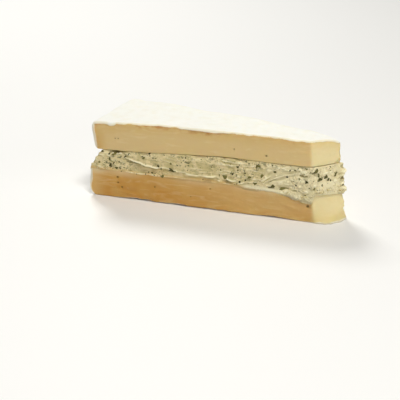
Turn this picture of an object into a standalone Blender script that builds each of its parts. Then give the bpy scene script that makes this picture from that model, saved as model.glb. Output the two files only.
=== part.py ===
"""A wedge of soft white-rind cheese, split through its middle and filled with herbed fresh cheese.

The wheel is modelled as it is made: two half wheels and the filling between them, each a turned
slab. The wedge is then cut out of it with three knife strokes, the near cut, the far cut and the
slanting cut that takes off the nose. Units are metres, +Z is up, and the wedge rests on Z = 0.
The rim points to -X and the nose to +X.
"""

import math

import bpy
from mathutils import Vector

# Driving dimensions
WHEEL_RADIUS = 0.196        # wheel's axis to the rim
HEIGHT = 0.0454             # the filled wedge, from the board to its top rind
CUT_ANGLE = math.radians(13.2)      # between the two long cuts
NOSE_NEAR = 0.0705          # wheel's axis to the nose cut, along the near cut at half height
NOSE_SLANT = math.radians(47)       # turn of the nose cut away from the near cut

# Layers, as heights above the board
RIM_DROOP = 0.0019          # the top rind sinks this much towards the rim
DROOP_REACH = 0.045
UPPER_SEAM_RIM = 0.0276     # under the upper cheese, at the rim
UPPER_SEAM_RISE = 0.0036    # how far that seam climbs towards the nose
UPPER_SEAM_REACH = 0.085
LOWER_SEAM_RIM = 0.0163     # over the lower cheese, at the rim
LOWER_SEAM_FALL = 0.0018
LOWER_SEAM_START = 0.070
LOWER_SEAM_REACH = 0.040
SEAM_GAP = 0.0003           # clearance between one layer and the next

# Rim profile, as distances the cheese stands out from WHEEL_RADIUS
UPPER_BULGE = 0.0014
LOWER_BULGE = 0.0037
SHOULDER = 0.0032           # radius of the top rind's rounded edge
TUCK = 0.0020               # radius where the upper cheese curls in under itself
FOOT = 0.0050               # radius of the rind's foot
FILLING_SET_BACK = 0.0049   # the filling lies this far inside the rim under the upper cheese
FILLING_SWELL = 0.0017      # and stands this far out where it meets the lower cheese

# Knife strokes
FAR_TILT = math.radians(3.5)        # the far cut leans out towards the board
NOSE_TILT = math.radians(2.2)       # so does the nose cut
FOOT_TILT = math.radians(9)         # the lower cheese spreads more at its nose
FILLING_PROUD = 0.0010      # the filling is squeezed out this far past the nose cut
KNIFE_SIZE = 0.5

SCREW_STEPS = 240           # 5 mm facets round the rim
SAMPLES = 28                # points along each seam and along the top
ARC_STEPS = 6

CHEESE = (0.86, 0.76, 0.52, 1.0)
FILLING = (0.78, 0.77, 0.62, 1.0)


def smoothstep(t):
    """0 before t = 0, 1 after t = 1, and a smooth rise between."""
    t = min(1.0, max(0.0, t))
    return t * t * (3 - 2 * t)


def top_height(inward):
    """Height of the top rind, inward metres from the rim."""
    return HEIGHT - RIM_DROOP * (1 - smoothstep(inward / DROOP_REACH))


def upper_seam(inward):
    return UPPER_SEAM_RIM + UPPER_SEAM_RISE * smoothstep(inward / UPPER_SEAM_REACH)


def lower_seam(inward):
    fall = smoothstep((inward - LOWER_SEAM_START) / LOWER_SEAM_REACH)
    return LOWER_SEAM_RIM - LOWER_SEAM_FALL * fall


def along(height, outer, offset=0.0):
    """Points of a surface from the wheel's axis to the radius outer."""
    return [
        (outer * i / SAMPLES, height(WHEEL_RADIUS - outer * i / SAMPLES) + offset)
        for i in range(SAMPLES + 1)
    ]


def arc(centre, radius, start, end):
    """Points of an arc in the profile plane, with its angles in degrees."""
    angles = [math.radians(start + (end - start) * i / ARC_STEPS) for i in range(ARC_STEPS + 1)]
    return [(centre[0] + radius * math.cos(a), centre[1] + radius * math.sin(a)) for a in angles]


def upper_profile():
    """Top rind outwards, round the shoulder, in down the rim and back along the seam."""
    rim = WHEEL_RADIUS + UPPER_BULGE
    lip = UPPER_SEAM_RIM + SEAM_GAP / 2
    tuck_centre = WHEEL_RADIUS - TUCK
    shoulder = arc((rim - SHOULDER, top_height(0) - SHOULDER), SHOULDER, 82, 0)
    tuck = arc((tuck_centre, lip + TUCK), TUCK, 0, -90)
    seam = along(upper_seam, tuck_centre - TUCK, SEAM_GAP / 2)
    return along(top_height, rim - 2 * SHOULDER) + shoulder + tuck + seam[::-1]


def lower_profile():
    """Seam outwards, down the bulging rim, round the foot and back along the board."""
    rim = WHEEL_RADIUS + LOWER_BULGE
    brow = LOWER_SEAM_RIM - SEAM_GAP / 2
    side = arc((rim - brow, brow / 2), brow, 26, 8)
    foot = arc((rim - FOOT, FOOT), FOOT, 0, -90)
    seam = along(lower_seam, side[0][0] - LOWER_BULGE, -SEAM_GAP / 2)
    return seam + side + foot + [(0.0, 0.0)]


def filling_profile():
    """Seam outwards, down the sloping rim of the filling and back along the lower seam."""
    high = WHEEL_RADIUS - FILLING_SET_BACK
    low = WHEEL_RADIUS + FILLING_SWELL
    thickness = UPPER_SEAM_RIM - LOWER_SEAM_RIM
    shoulder = (WHEEL_RADIUS - 0.4 * FILLING_SET_BACK, LOWER_SEAM_RIM + 0.8 * thickness)
    swell = (low, LOWER_SEAM_RIM + 0.2 * thickness)
    top = along(upper_seam, high, -SEAM_GAP / 2)
    bottom = along(lower_seam, low, SEAM_GAP / 2)
    return top + [shoulder, swell] + bottom[::-1]


def material(name, colour, roughness):
    made = bpy.data.materials.new(name)
    made.use_nodes = True
    shader = made.node_tree.nodes["Principled BSDF"]
    shader.inputs["Base Color"].default_value = colour
    shader.inputs["Roughness"].default_value = roughness
    shader.inputs["Metallic"].default_value = 0.0
    return made


def turned_slab(name, profile, root, collection):
    """A whole wheel of one layer: its profile, turned about Z by a Screw modifier."""
    mesh = bpy.data.meshes.new(name)
    edges = [(i, i + 1) for i in range(len(profile) - 1)]
    mesh.from_pydata([(r, 0.0, z) for r, z in profile], edges, [])
    slab = bpy.data.objects.new(name, mesh)
    collection.objects.link(slab)
    slab.parent = root
    screw = slab.modifiers.new("turn", "SCREW")
    screw.axis = "Z"
    screw.angle = math.tau
    screw.steps = SCREW_STEPS
    screw.render_steps = SCREW_STEPS
    screw.use_merge_vertices = True
    screw.merge_threshold = 0.00001
    screw.use_smooth_shade = True
    return slab


def knife(name, point, heading, tilt, root, collection):
    """A block whose face through point is one stroke's plane. Its normal points along heading,
    and with a tilt the plane leans out towards the board."""
    bpy.ops.mesh.primitive_cube_add(size=KNIFE_SIZE)
    block = bpy.context.object
    block.name = name
    for owner in list(block.users_collection):
        owner.objects.unlink(block)
    collection.objects.link(block)
    block.parent = root
    block.rotation_euler = (0, -tilt, heading)
    flat = Vector((math.cos(heading) * math.cos(tilt), math.sin(heading) * math.cos(tilt), math.sin(tilt)))
    block.location = Vector(point) + flat * KNIFE_SIZE / 2
    block.display_type = "WIRE"
    block.hide_render = True
    return block


def cut(slab, knives):
    for block in knives:
        stroke = slab.modifiers.new(block.name, "BOOLEAN")
        stroke.operation = "DIFFERENCE"
        stroke.solver = "EXACT"
        stroke.object = block


def applied(slab):
    """The evaluated mesh in place of the profile and its modifiers, with its long edges sharp."""
    graph = bpy.context.evaluated_depsgraph_get()
    solid = bpy.data.meshes.new_from_object(slab.evaluated_get(graph))
    slab.modifiers.clear()
    slab.data = solid
    solid.name = slab.name
    solid.shade_smooth()
    solid.set_sharp_from_angle(angle=math.radians(35))


def centre_on_footprint(slabs, root):
    """Moves the wheel's axis so that the wedge's box is centred on the origin."""
    bpy.context.view_layer.update()
    corners = [slab.matrix_world @ Vector(c) for slab in slabs for c in slab.bound_box]
    for axis in (0, 1):
        values = [corner[axis] for corner in corners]
        root.location[axis] -= (min(values) + max(values)) / 2


def main():
    for old in list(bpy.data.objects):
        bpy.data.objects.remove(old)
    parts = bpy.data.collections.new("cheese_wedge")
    cutters = bpy.data.collections.new("knives")
    bpy.context.scene.collection.children.link(parts)
    bpy.context.scene.collection.children.link(cutters)
    root = bpy.data.objects.new("wheel_axis", None)
    parts.objects.link(root)

    half = CUT_ANGLE / 2
    middle = HEIGHT / 2
    nose_corner = (-NOSE_NEAR * math.cos(half), -NOSE_NEAR * math.sin(half))
    nose_heading = half + NOSE_SLANT - math.pi / 2
    proud = Vector((math.cos(nose_heading), math.sin(nose_heading), 0)) * FILLING_PROUD
    near = knife("near_cut", (0, 0, middle), half - math.pi / 2, 0.0, root, cutters)
    far = knife("far_cut", (0, 0, HEIGHT), math.pi / 2 - half, FAR_TILT, root, cutters)
    nose = knife("nose_cut", (*nose_corner, middle), nose_heading, NOSE_TILT, root, cutters)
    nose_filling = knife(
        "nose_cut_filling", Vector((*nose_corner, middle)) + proud, nose_heading, NOSE_TILT, root, cutters
    )
    nose_lower = knife(
        "nose_cut_lower", (*nose_corner, LOWER_SEAM_RIM), nose_heading, FOOT_TILT, root, cutters
    )

    rind_cheese = material("soft_cheese", CHEESE, 0.55)
    herb_cheese = material("herbed_filling", FILLING, 0.6)
    layers = (
        ("upper_cheese", upper_profile(), rind_cheese, (near, far, nose)),
        ("herb_filling", filling_profile(), herb_cheese, (near, far, nose_filling)),
        ("lower_cheese", lower_profile(), rind_cheese, (near, far, nose_lower)),
    )
    slabs = []
    for name, profile, finish, knives in layers:
        slab = turned_slab(name, profile, root, parts)
        cut(slab, knives)
        applied(slab)
        slab.data.materials.clear()
        slab.data.materials.append(finish)
        slabs.append(slab)
    centre_on_footprint(slabs, root)


main()
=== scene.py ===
# %% [markdown]
# # A wedge of filled soft cheese
# Someone took a wheel of soft white-rind cheese, split it through the middle like a cake, spread
# the halves with fresh cheese full of chopped herbs, and cut a wedge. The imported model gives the
# wedge as three plain solids, one for each layer. A finish alone would leave them looking like
# plastic, because torn filling and a rind's lip are shapes. So each layer is built again as a fine
# surface, worked out with numpy, and then gets its finish of shader nodes.

import bpy
import numpy as np
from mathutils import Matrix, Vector


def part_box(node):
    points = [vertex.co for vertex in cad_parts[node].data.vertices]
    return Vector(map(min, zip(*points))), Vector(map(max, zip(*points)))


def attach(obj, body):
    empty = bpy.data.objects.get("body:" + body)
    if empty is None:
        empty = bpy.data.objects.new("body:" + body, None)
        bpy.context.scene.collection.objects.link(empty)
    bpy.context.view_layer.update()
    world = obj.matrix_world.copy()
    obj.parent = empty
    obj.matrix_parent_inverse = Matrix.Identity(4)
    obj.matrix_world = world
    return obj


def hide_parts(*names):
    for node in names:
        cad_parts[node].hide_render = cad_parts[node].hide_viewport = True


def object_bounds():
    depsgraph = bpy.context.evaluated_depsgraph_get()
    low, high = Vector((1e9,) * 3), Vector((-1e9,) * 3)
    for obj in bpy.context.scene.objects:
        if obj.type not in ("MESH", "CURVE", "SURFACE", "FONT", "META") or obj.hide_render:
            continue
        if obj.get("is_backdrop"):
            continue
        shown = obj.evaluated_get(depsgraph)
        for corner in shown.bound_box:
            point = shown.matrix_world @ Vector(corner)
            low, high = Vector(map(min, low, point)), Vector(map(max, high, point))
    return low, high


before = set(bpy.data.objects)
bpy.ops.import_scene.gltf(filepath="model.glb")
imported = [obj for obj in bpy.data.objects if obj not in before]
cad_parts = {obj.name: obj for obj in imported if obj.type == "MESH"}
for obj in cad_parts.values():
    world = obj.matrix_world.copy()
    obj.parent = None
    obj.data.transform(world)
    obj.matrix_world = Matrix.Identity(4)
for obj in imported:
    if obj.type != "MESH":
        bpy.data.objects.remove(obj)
cad_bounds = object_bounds()
MM = 0.001
print("solids:", sorted(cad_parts))
print("box in mm:", [round(high / MM - low / MM, 1) for low, high in zip(*cad_bounds)])

# %% [markdown]
# ## The camera
# A long lens from a little above the table keeps the wedge's edges nearly parallel. The camera
# looks at a point in front of the wedge, so that the wedge stands in the upper half of the picture.
# Its place is worked out from two angles and a distance, which are easier to think about than x,
# y and z.

# %% Camera
CAMERA_AZIMUTH = np.radians(26.8)     # round the wedge, from -Y towards +X
CAMERA_ELEVATION = np.radians(20.5)
CAMERA_DISTANCE = 0.7207
CAMERA_LENS = 126.0                   # on a 36 mm sensor
AIM_OFFSET = Vector((0.0151, -0.0576, -0.0006))     # from the middle of the wedge's box


def make_camera():
    middle = (cad_bounds[0] + cad_bounds[1]) / 2
    back = Vector((
        np.sin(CAMERA_AZIMUTH) * np.cos(CAMERA_ELEVATION),
        -np.cos(CAMERA_AZIMUTH) * np.cos(CAMERA_ELEVATION),
        np.sin(CAMERA_ELEVATION),
    ))
    data = bpy.data.cameras.new("camera")
    data.lens = CAMERA_LENS
    data.sensor_width = 36.0
    camera = bpy.data.objects.new("camera", data)
    bpy.context.scene.collection.objects.link(camera)
    camera.location = middle + AIM_OFFSET + back * CAMERA_DISTANCE
    camera.rotation_euler = back.to_track_quat("Z", "Y").to_euler()
    bpy.context.scene.camera = camera
    return camera


camera = make_camera()
print("camera at", [round(v, 3) for v in camera.location])

# %% [markdown]
# ## Curves and noise
# Everything below is worked out on whole numpy arrays, in millimetres. Two kinds of noise give the
# cheese its natural look: soft lumps, for waves and smears, and crumbs, which are rounded cells
# with creases between them. Blender has both as textures for a Displace modifier, but in numpy they
# can be stretched, bent and blended by any formula.

# %% Small curves
def smooth(start, end, x):
    """0 up to start, 1 past end, and the S-shaped curve 3t^2 - 2t^3 between them."""
    t = np.clip((x - start) / (end - start), 0, 1)
    return t * t * (3 - 2 * t)


def bell(x, centre, reach):
    """1 at the centre and e^-1 at reach to either side: exp(-((x - centre) / reach)^2)."""
    return np.exp(-(((x - centre) / reach) ** 2))


def rounded(depth, radius):
    """How far a rounded edge falls back at some depth from the face:
    radius - sqrt(radius^2 - (radius - depth)^2)."""
    missing = np.clip(radius - depth, 0, radius)
    return radius - np.sqrt(radius**2 - missing**2)


# %% Noise
CORNERS = np.array([(i, j, k) for i in (0, 1) for j in (0, 1) for k in (0, 1)])
NEIGHBOURS = np.array([(i, j, k) for i in (-1, 0, 1) for j in (-1, 0, 1) for k in (-1, 0, 1)])


def dice(cells, seed):
    """A fixed number from 0 to 1 for each whole-numbered cell: its three numbers times large
    primes, added up, then mixed twice by shifting and multiplying."""
    n = (cells * np.array([73856093, 19349663, 83492791])).sum(-1) + seed * 7919
    n = ((n ^ (n >> 15)) * 2246822519) & 0xFFFFFFFF
    n = ((n ^ (n >> 13)) * 3266489917) & 0xFFFFFFFF
    return ((n ^ (n >> 16)) & 0xFFFFFF) / 0xFFFFFF


def lumps(points, size, seed):
    """Soft lumps about size across, from -1 to 1: random values at a lattice's corners, blended
    across each cell with smooth weights. The size may differ along the three axes."""
    place = points / np.asarray(size, float)
    cell = np.floor(place).astype(np.int64)
    share = place - cell
    share = share * share * (3 - 2 * share)
    total = np.zeros(points.shape[:-1])
    for corner in CORNERS:
        weight = np.where(corner == 1, share, 1 - share).prod(-1)
        total += weight * dice(cell + corner, seed)
    return 2 * total - 1


def layered(points, size, seed, layers=3):
    """Lumps of one size, of half that size and so on, each layer half as strong."""
    size = np.asarray(size, float)
    return sum(lumps(points, size / 2**i, seed + i) / 2**i for i in range(layers))


def crumbs(points, size, seed):
    """1 in the middle of each crumb, falling as 1 - d^2 to the creases: d is the distance to the
    nearest of the dots scattered one to a cell."""
    place = points / np.asarray(size, float)
    cell = np.floor(place).astype(np.int64)
    nearest = np.full(points.shape[:-1], 9.0)
    for step in NEIGHBOURS:
        there = cell + step
        dot = there + np.stack([dice(there, seed + i) for i in range(3)], -1)
        nearest = np.minimum(nearest, ((place - dot) ** 2).sum(-1))
    return 1 - np.clip(nearest, 0, 1)


trial = np.array([[0, 0, 0], [3, 1, 4], [1, 5, 9.0]])
print("lumps at three points:", lumps(trial, 2.0, 1).round(2))
print("crumbs there:", crumbs(trial, 2.0, 1).round(2))

# %% [markdown]
# ## The wedge's plan
# It is easiest to draw the wedge the way it was cut. Its own drawing frame starts at the near
# corner of the rim, with x along the near cut, y into the wedge and z up. The wheel's axis lies
# far out past the nose. Drawn straight into the model's frame, both long cuts would be slanted and
# every formula longer, so one function turns the drawing frame into the model's frame at the end.

# %% Drawing frame
WHEEL_RADIUS = 196.0
HALF_ANGLE = np.radians(6.6)          # half the angle between the two long cuts
LOWER_BULGE = 3.7                     # the lower half's rim stands out this far
AXIS = np.array([WHEEL_RADIUS, 0.0])  # the wheel's axis in the drawing frame

lower_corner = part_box("lower_cheese")[0] / MM
widest = WHEEL_RADIUS + LOWER_BULGE
axis_in_model = np.array([lower_corner.x + widest, lower_corner.y + widest * np.sin(HALF_ANGLE)])


def to_model(points):
    """The drawing frame in millimetres to the model's frame in metres: a turn about the axis."""
    x, y = points[..., 0] - AXIS[0], points[..., 1] - AXIS[1]
    turned_x = x * np.cos(HALF_ANGLE) - y * np.sin(HALF_ANGLE) + axis_in_model[0]
    turned_y = x * np.sin(HALF_ANGLE) + y * np.cos(HALF_ANGLE) + axis_in_model[1]
    return np.stack([turned_x, turned_y, points[..., 2]], -1) * MM


print("wheel's axis in the model:", axis_in_model.round(2), "mm")

# %% [markdown]
# The outline of a layer at some height has four sides: near cut, nose cut, far cut and rim. The
# three cuts are straight lines that can be pushed in or out, and the rim is an arc. Every surface
# below has its columns spread in the same way round this outline, so that the near and the far side
# pair up.

# %% Outline
FAR_ANGLE = 2 * HALF_ANGLE
NOSE_TURN = np.radians(47.0)
NOSE_CORNER = np.array([125.3, 0.0])
CUT_NORMALS = np.array([
    [0.0, -1.0],
    [np.sin(NOSE_TURN), -np.cos(NOSE_TURN)],
    [np.sin(FAR_ANGLE), np.cos(FAR_ANGLE)],
])
SPINE = np.array([[21.0, 20.6], [121.0, 7.6]])      # the line on which a layer's faces close
NEAR, NOSE, FAR, RIM = range(4)


def meeting(normal_a, distance_a, normal_b, distance_b):
    """Where two lines cross, each given by its normal and its distance: Cramer's rule."""
    scale = normal_a[0] * normal_b[1] - normal_a[1] * normal_b[0]
    x = (distance_a * normal_b[1] - distance_b * normal_a[1]) / scale
    y = (normal_a[0] * distance_b - normal_b[0] * distance_a) / scale
    return np.stack([x, y], -1)


class Columns:
    """The columns of a layer's grid: which side each is on, how far along it, and its place on
    the spine."""

    def __init__(self, long_side, nose, rim):
        counts = [long_side, nose, long_side, rim]
        self.side = np.repeat([NEAR, NOSE, FAR, RIM], counts)
        self.along = np.concatenate([np.arange(n) / n for n in counts])
        self.pair = np.round(np.choose(
            self.side, [self.along, 1.0, 1 - self.along, 0.0]
        ) * long_side).astype(int)
        self.spine = SPINE[0] + (SPINE[1] - SPINE[0]) * (self.pair / long_side)[:, None]
        self.long_side = long_side


def outline(columns, out_near, out_nose, out_far, radius):
    """The plan of each row: cuts pushed out by the given distances, and an arc for the rim. A side
    runs evenly from corner to corner, so a point is corner + along * (next corner - corner)."""
    foot = CUT_NORMALS @ AXIS
    near = foot[0] + out_near
    nose = CUT_NORMALS[1] @ NOSE_CORNER + out_nose
    far = foot[2] + out_far
    rim_near = np.arctan2(out_near, np.sqrt(radius**2 - out_near**2))
    rim_far = -FAR_ANGLE - np.arctan2(out_far, np.sqrt(radius**2 - out_far**2))
    angle = rim_far[:, None] + (rim_near - rim_far)[:, None] * columns.along
    arc = AXIS + radius[:, None, None] * np.stack([-np.cos(angle), -np.sin(angle)], -1)
    corner_a = AXIS + radius[:, None] * np.stack([-np.cos(rim_near), -np.sin(rim_near)], -1)
    corner_b = AXIS + radius[:, None] * np.stack([-np.cos(rim_far), -np.sin(rim_far)], -1)
    corner_c = meeting(CUT_NORMALS[0], near, CUT_NORMALS[1], nose)
    corner_d = meeting(CUT_NORMALS[1], nose, CUT_NORMALS[2], far)
    corners = np.stack([corner_a, corner_c, corner_d, corner_b, corner_a], 1)
    start, end = corners[:, columns.side], corners[:, columns.side + 1]
    straight = start + (end - start) * columns.along[:, None]
    return np.where((columns.side == RIM)[:, None], arc, straight)


def soften(grid, passes):
    """Rounds the upright corners: each point is averaged with its neighbours round the outline."""
    for _ in range(passes):
        grid = (np.roll(grid, 1, 1) + 2 * grid + np.roll(grid, -1, 1)) / 4
    return grid


def drawn_in(plan, columns, w):
    """Plan of all rows, x and y: the edge, drawn in towards the spine by the share w."""
    plan = plan + (columns.spine - plan) * w[:, None, None]
    return plan[..., 0], plan[..., 1]


print("nose corner:", NOSE_CORNER, "far angle:", np.degrees(FAR_ANGLE).round(1), "degrees")

# %% Heights of the layers
HEIGHT = 45.4


def inward(x, y):
    """Distance from the wheel's rim towards its axis."""
    return WHEEL_RADIUS - np.hypot(x - AXIS[0], y - AXIS[1])


def across(x, y):
    """0 at the near cut and 1 at the far cut."""
    return np.clip(y / np.maximum((WHEEL_RADIUS - x) * np.tan(FAR_ANGLE), 1.0), 0, 1)


def top_of_wedge(x, y):
    """The top rind droops towards the rim, swells at the far edge and at the rim's far corner, and
    sinks at the nose."""
    far = across(x, y)
    droop = 1.9 * (1 - smooth(0, 45, inward(x, y)))
    swell = bell(x, 84, 24) * far + 1.4 * smooth(58, 22, x) * smooth(0.35, 0.9, far)
    return HEIGHT - droop + swell - 1.4 * smooth(121, 137, x) * far


def upper_seam(x, y):
    return 27.6 + 3.6 * smooth(0, 85, inward(x, y))


def lower_seam(x, y):
    """Level along the near cut, and falling across the wedge towards the nose's far corner."""
    return 16.3 - 2.2 * smooth(70, 110, inward(x, y)) * across(x, y)


for place in ((1.0, 0.0), (120.0, 0.0)):
    heights = [height(*place) for height in (lower_seam, upper_seam, top_of_wedge)]
    print("x =", place[0], "mm: seams and top at", np.round(heights, 1), "mm")

# %% [markdown]
# ## One closed grid for each layer
# A layer is a single sheet of squares. It starts on the spine in the middle of the underside, runs
# out to the edge, up the wall and back in to the spine on top. Height and plan are functions of
# the row and the column, and the two spine rows are stitched, near side to far side. A cube cut
# with knives would give the same outline, but its faces would be too coarse to carry relief.

# %% Rows of a layer
def wall_rows(count):
    """Heights from 0 to 1, closer together near the two edges: half even steps, half a cosine."""
    even = np.linspace(0, 1, count)
    return 0.5 * even + 0.5 * (0.5 - 0.5 * np.cos(np.pi * even))


def cap_rows(count, bend):
    """Steps from the edge, 0, to the spine, 1, closer together near the edge: t^bend."""
    return (np.arange(1, count + 1) / count) ** bend


def layer_rows(wall, under, over):
    """Height share v and inward share w of each row, from the under spine to the upper spine."""
    v = np.concatenate([np.zeros(len(under)), wall, np.ones(len(over))])
    w = np.concatenate([under[::-1], np.zeros(len(wall)), over])
    return v, w


def facing(grid):
    """Outward unit normals: the step round the outline crossed with the step up the rows."""
    around = np.roll(grid, -1, 1) - np.roll(grid, 1, 1)
    up = np.gradient(grid, axis=0)
    normal = np.cross(around, up)
    length = np.linalg.norm(normal, axis=-1, keepdims=True)
    return normal / np.maximum(length, 1e-9)


print("shares of the height on five rows:", wall_rows(5).round(2))

# %% From grid to mesh
def piece_from_grid(name, grid, columns, marks):
    """A closed mesh of the grid. Its first and last rows become the two spines, where squares on
    the short sides shrink to triangles. Marks are numbers kept at each point for the finish."""
    rows, width = grid.shape[:2]
    spine = columns.long_side + 1
    index = np.arange(rows * width).reshape(rows, width) - width + spine
    index[0] = columns.pair
    index[-1] = (rows - 2) * width + spine + columns.pair

    def flat(values):
        return np.concatenate([values[0, :spine], *values[1:-1], values[-1, :spine]])

    a, b = index[:-1], np.roll(index[:-1], -1, 1)
    d, c = index[1:], np.roll(index[1:], -1, 1)
    squares = np.stack([a, b, c, d], -1).reshape(-1, 4)
    low = squares[:, 0] == squares[:, 1]
    high = squares[:, 2] == squares[:, 3]
    faces = squares[~(low | high)].tolist()
    faces += squares[low][:, [0, 2, 3]].tolist() + squares[high][:, [0, 1, 2]].tolist()
    mesh = bpy.data.meshes.new(name)
    mesh.from_pydata(flat(to_model(grid)), [], faces)
    for mark, values in marks.items():
        layer = mesh.attributes.new(mark, "FLOAT", "POINT")
        layer.data.foreach_set("value", flat(values).astype(np.float32))
    mesh.shade_smooth()
    piece = bpy.data.objects.new(name, mesh)
    bpy.context.scene.collection.objects.link(piece)
    triangles = sum(len(face) - 2 for face in faces)
    print(f"{name}: {len(mesh.vertices)} points, {triangles} triangles")
    return piece


# %% [markdown]
# ## The two halves of cheese
# Paste and rind are one grown body, so each half is one mesh, and a finish tells them apart. The
# rind could be a thin shell of its own, but it has no inner face that anyone could see. Instead, a
# mark called cover says how deep every point lies in the rind: above 0 is rind, below 0 is paste,
# both in millimetres. The rind stands out a little where the knife went through it, because the
# softer paste has sunk back.

# %% Places on the cut faces
PITS = (    # x along the near cut, height, radius
    (13.4, 12.2, 0.70), (13.6, 9.0, 0.60), (15.9, 6.6, 0.60), (35.7, 9.1, 0.50),
    (12.4, 34.8, 0.35), (14.2, 34.9, 0.35), (100.2, 34.8, 0.55), (82.0, 36.5, 0.35),
    (68.3, 12.0, 0.35), (57.0, 6.0, 0.30), (123.7, 9.0, 0.90),
)
PIT_DEPTH = 0.8
RIND_EDGE_AT = (0, 8, 9.5, 12, 13.5, 25, 33, 41, 50, 52, 64, 72, 76, 105, 116, 125)
RIND_EDGE = (1.4, 1.3, 2.0, 1.8, 0.6, 0.5, 0.9, 0.6, 0.5, 0.9, 0.9, 1.1, 0.5, 0.45, 0.6, 0.5)
RIND_STEP = (-0.15, 0.25)             # cover over which the paste's relief becomes the rind's
ALL_RIND = 2.0                        # cover where there is nothing but rind
FAR_CORNER = meeting(
    CUT_NORMALS[1], CUT_NORMALS[1] @ NOSE_CORNER, CUT_NORMALS[2], CUT_NORMALS[2] @ AXIS + 1.3
)
NOSE_WAY = np.array([np.cos(NOSE_TURN), np.sin(NOSE_TURN)])
print("far corner of the nose:", FAR_CORNER.round(1), "mm")


# %% Where a point is
def along_nose(points):
    """Distance from the near corner along the nose cut."""
    return (points[..., :2] - NOSE_CORNER) @ NOSE_WAY


def from_far_corner(points):
    """Distance in plan from the upright edge where the nose cut meets the far cut."""
    return np.hypot(points[..., 0] - FAR_CORNER[0], points[..., 1] - FAR_CORNER[1])


def side_share(columns, side):
    """1 on one side's columns and 0 elsewhere, with a soft change at its corners."""
    share = (columns.side == side).astype(float)
    for _ in range(8):
        share = (np.roll(share, 1) + 2 * share + np.roll(share, -1)) / 4
    return share


def side_shares(columns):
    """The shares of the near cut, the nose cut and the rim."""
    return [side_share(columns, side) for side in (NEAR, NOSE, RIM)]


# %% Relief of the cut faces and the rind
def paste_relief(points):
    """How far a cut face stands proud: long waves, dragged marks along the cut, and a fine grain.
    The marks wander, because the place where their noise is read is itself pushed by noise."""
    waves = 0.30 * layered(points, 26, 11, 2)
    wander = points + (2.5 * lumps(points, 19, 20) + 0.7 * lumps(points, 6, 23))[..., None]
    knife = 0.06 * lumps(wander, (26, 26, 2.2), 21) + 0.03 * lumps(wander, (12, 12, 0.9), 22)
    grain = 0.035 * layered(points, 1.6, 31, 2)
    return waves + knife + grain


def rind_relief(points):
    """The rind's velvet: broad dents, small lumps and a fine fuzz."""
    small = 0.10 * lumps(points, 3.2, 43) + 0.05 * lumps(points, 1.1, 44)
    return 0.35 * layered(points, 17, 41, 2) + small


def torn_corner(points, amount, seed):
    """The far corner of the nose broke rather than cut: lumps of an upright grain, near it only."""
    ragged = 0.9 * lumps(points, (5, 5, 2.8), seed) + 0.7 * lumps(points, (3, 3, 1.3), seed + 1)
    return amount * bell(from_far_corner(points), 0, 2.6) * ragged


def pits_at(points, on_near):
    """Depth of the small round holes on the near cut: bells around each hole's place."""
    depth = np.zeros(points.shape[:-1])
    for x, z, radius in PITS:
        away = np.hypot(points[..., 0] - x, points[..., 2] - z)
        depth = np.maximum(depth, bell(away, 0, radius))
    return depth * on_near


def pushed_out(points, relief, shown):
    """Points moved along their normals by the relief, on the rows that are shown."""
    return points + facing(points) * np.where(shown[:, None], relief, 0)[..., None]


# %% [markdown]
# The upper half is a slab with a rounded shoulder at its rim. Its far corner at the nose has broken
# in lumps. The lip of rind along the near cut follows a list of heights, because the eye goes
# there first. Noise does the rest.

# %% Shape of the upper half
SEAM_GAP = 0.15                       # each layer stays this far from the middle of a seam
UPPER_THICKNESS = 16.5
UPPER_BULGE = 1.4                     # the rim stands out this far past the wheel's radius
SHOULDER = 3.2                        # radius of the top rind's rounded edge
TUCK = 2.0                            # radius where the rim curls in under itself
NOSE_LEAN = np.tan(np.radians(2.2))   # the nose cut leans out towards the board
HALF_COLUMNS = (352, 60, 118)         # points along a long cut, the nose cut and the rim


def upper_rim(v):
    return WHEEL_RADIUS + UPPER_BULGE * smooth(0, 0.8, v)


def upper_shape(columns, v, w):
    """The plain layer: an outline for each row, drawn in to the spine, between seam and top."""
    down, up = (1 - v) * UPPER_THICKNESS, v * UPPER_THICKNESS
    edge = -rounded(down, 1.0) - rounded(up, 0.3)
    plan = outline(
        columns,
        edge,
        edge + (0.5 - v) * UPPER_THICKNESS * NOSE_LEAN,
        edge + 0.2 + 0.02 * down,
        upper_rim(v) - rounded(down, SHOULDER) - rounded(up, TUCK),
    )
    x, y = drawn_in(soften(plan, 5), columns, w)
    low, high = upper_seam(x, y) + SEAM_GAP, top_of_wedge(x, y)
    return np.stack([x, y, low + (high - low) * v[:, None]], -1)


# %% Rind of the upper half
def upper_cover(columns, points, v, w):
    """On the cuts the rind reaches down from the top by its lip and in from the rim by its band,
    and the larger of the two counts. The top and the rim are nothing but rind."""
    x, y, z = np.moveaxis(points, -1, 0)
    near, nose, rim = side_shares(columns)
    on_near = np.interp(x, RIND_EDGE_AT, RIND_EDGE) + 0.30 * lumps(points, (3.0, 9, 9), 52)
    on_nose = 0.6 + 0.25 * lumps(points, 2.5, 54) + 0.8 * smooth(9, 17, along_nose(points))
    on_far = 0.75 + 0.45 * layered(points, 8, 51, 2)
    lip = near * on_near + nose * on_nose + (1 - near - nose) * on_far
    band = 1.5 + 0.5 * lumps(points, 5, 53)
    from_rim = upper_rim(v)[:, None] - np.hypot(x - AXIS[0], y)
    cover = np.maximum(lip - (top_of_wedge(x, y) - z), band - from_rim)
    cover = np.where((w > 0)[:, None] & (v > 0.5)[:, None], ALL_RIND, cover)
    return cover + (ALL_RIND - cover) * rim * smooth(0, 0.05, v)[:, None]


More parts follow.
